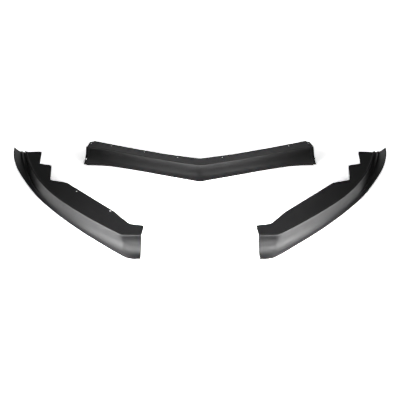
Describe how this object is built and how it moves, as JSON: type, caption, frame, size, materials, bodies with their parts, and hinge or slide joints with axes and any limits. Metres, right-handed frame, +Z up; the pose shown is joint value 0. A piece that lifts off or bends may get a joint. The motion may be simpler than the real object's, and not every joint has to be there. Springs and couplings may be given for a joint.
{
  "type": "front splitter lip",
  "caption": "Black plastic front splitter lip laid out as separate mouldings: a V-shaped centre section and side sections that sweep back to grooved winglets.",
  "frame": {"origin": "middle of the laid-out set, on the surface that the lower edges rest on", "axes": "+X across the car and across the mirror plane of the set, +Y towards the car's rear, +Z up; the front edges face -Y"},
  "size_m": [1.2672, 0.5718, 0.05],
  "materials": {
    "moulded_plastic": "satin black, with the fine grain of a moulded surface"
  },
  "bodies": {
    "root": {"left_section": "moulded_plastic", "centre_section": "moulded_plastic", "right_section": "moulded_plastic"}
  },
  "joints": []
}
